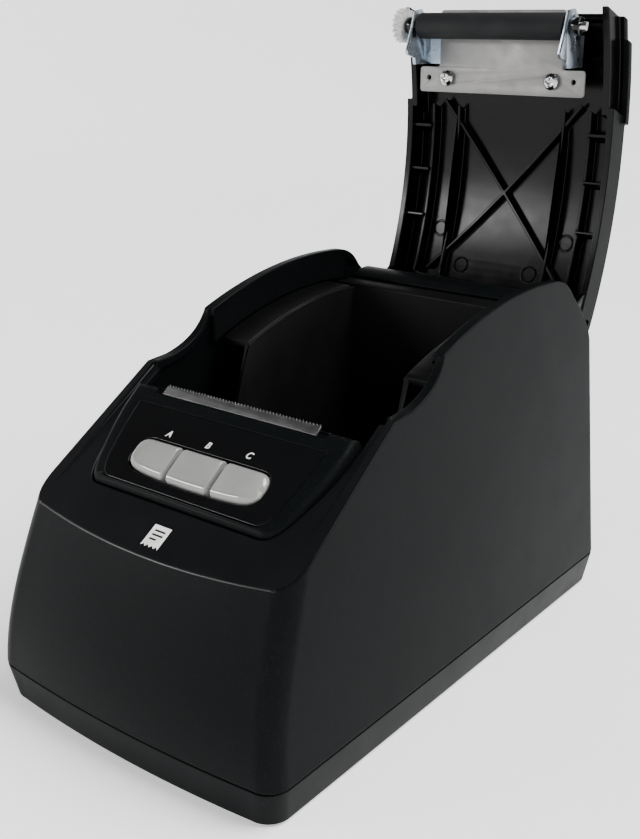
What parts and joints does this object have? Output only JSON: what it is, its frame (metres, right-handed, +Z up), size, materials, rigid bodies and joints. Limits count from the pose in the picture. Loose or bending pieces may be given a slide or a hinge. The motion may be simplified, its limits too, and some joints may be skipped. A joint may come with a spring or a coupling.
{
  "type": "receipt printer",
  "caption": "Desktop thermal receipt printer for narrow paper rolls, wedge-shaped black case, clamshell lid that carries the platen roller, push buttons and a tear bar on the sloped front.",
  "frame": {"origin": "on the table under the middle of the printer's box, with the lid open", "axes": "+X to the printer's right as its user faces it, +Y towards its back, +Z up; the front with the buttons faces -Y"},
  "size_m": [0.11, 0.2094, 0.1991],
  "materials": {
    "satin_black": "satin moulded, fine sparkle grain",
    "bay_black": "dull black",
    "gloss_black": "piano black gloss",
    "component_black": "dull",
    "silver_button": "silver-grey lacquer, glossy",
    "dark_steel": "blackened sheet, serrated edge",
    "bracket_steel": "plain rolled steel, light grey",
    "zinc_plate": "blue-passivated zinc",
    "chrome_steel": "bright nickel",
    "port_metal": "tinned sheet",
    "platen_rubber": "ground dark grey",
    "foot_rubber": "matt",
    "gear_nylon": "off-white nylon",
    "ribbon_white": "satin film",
    "circuit_green": "solder mask",
    "head_heatsink": "milled"
  },
  "bodies": {
    "base": {"body_shell": "satin_black", "base_tray": "satin_black", "front_fascia": "satin_black", "paper_bay": "bay_black", "control_lens": "gloss_black", "switch_bezel": "gloss_black", "power_jack": "gloss_black", "paper_sensor": "component_black", "cover_switch": "component_black", "tact_switch_a": "component_black", "tact_switch_b": "component_black", "tact_switch_c": "component_black", "tear_bar": "dark_steel", "print_frame": "bracket_steel", "hinge_pin_left": "bracket_steel", "hinge_pin_right": "bracket_steel", "step_motor": "zinc_plate", "base_screw_front_left": "chrome_steel", "base_screw_front_right": "chrome_steel", "base_screw_back_left": "chrome_steel", "base_screw_back_right": "chrome_steel", "head_spring_left": "chrome_steel", "head_spring_right": "chrome_steel", "lan_jack": "port_metal", "usb_jack": "port_metal", "rubber_foot_front_left": "foot_rubber", "rubber_foot_back_left": "foot_rubber", "rubber_foot_front_right": "foot_rubber", "rubber_foot_back_right": "foot_rubber", "head_ribbon": "ribbon_white", "main_board": "circuit_green", "button_board": "circuit_green"},
    "lid": {"lid_shell": "satin_black", "platen_bracket": "bracket_steel", "shaft_ear_left": "zinc_plate", "shaft_ear_right": "zinc_plate", "platen_bearing_left": "gloss_black", "platen_bearing_right": "gloss_black", "bracket_screw_left": "chrome_steel", "bracket_screw_right": "chrome_steel"},
    "roller": {"platen_shaft": "chrome_steel", "platen_rubber": "platen_rubber", "platen_gear": "gear_nylon"},
    "key_a": {"button_a": "silver_button"},
    "key_b": {"button_b": "silver_button"},
    "key_c": {"button_c": "silver_button"},
    "rocker": {"power_rocker": "gloss_black"},
    "pinion_rotor": {"motor_pinion": "gear_nylon"},
    "reduction": {"reduction_gear": "gear_nylon"},
    "head": {"print_head": "head_heatsink"}
  },
  "joints": [
    {"name": "lid_hinge", "type": "hinge", "parent": "base", "child": "lid", "pos_m": [0, 0.06352, 0.091], "axis": [1, 0, 0], "range_deg": [0, 110]},
    {"name": "platen_spin", "type": "hinge", "parent": "lid", "child": "roller", "pos_m": [0, 0.08288, 0.19271], "axis": [1, 0, 0], "continuous": true},
    {"name": "button_a_press", "type": "slide", "parent": "base", "child": "key_a", "axis": [0, 0.592, -0.8059], "range_m": [0, 0.0008], "stiffness_N_per_m": 1200, "springref_m": -0.001},
    {"name": "button_b_press", "type": "slide", "parent": "base", "child": "key_b", "axis": [0, 0.592, -0.8059], "range_m": [0, 0.0008], "stiffness_N_per_m": 1200, "springref_m": -0.001},
    {"name": "button_c_press", "type": "slide", "parent": "base", "child": "key_c", "axis": [0, 0.592, -0.8059], "range_m": [0, 0.0008], "stiffness_N_per_m": 1200, "springref_m": -0.001},
    {"name": "power_rocker_tilt", "type": "hinge", "parent": "base", "child": "rocker", "pos_m": [-0.03, 0.07912, 0.044], "axis": [1, 0, 0], "range_deg": [0, 18]},
    {"name": "reduction_spin", "type": "hinge", "parent": "base", "child": "reduction", "pos_m": [-0.0361, -0.04667, 0.0611], "axis": [1, 0, 0], "continuous": true},
    {"name": "motor_spin", "type": "hinge", "parent": "base", "child": "pinion_rotor", "pos_m": [-0.0361, -0.03468, 0.0613], "axis": [1, 0, 0], "continuous": true},
    {"name": "head_float", "type": "slide", "parent": "base", "child": "head", "axis": [0, -1, 0], "range_m": [0, 0.0005], "stiffness_N_per_m": 6000, "springref_m": -0.0006}
  ],
  "couplings": [
    {"joint": "motor_spin", "follows": "reduction_spin", "ratio": -2.3333}
  ]
}
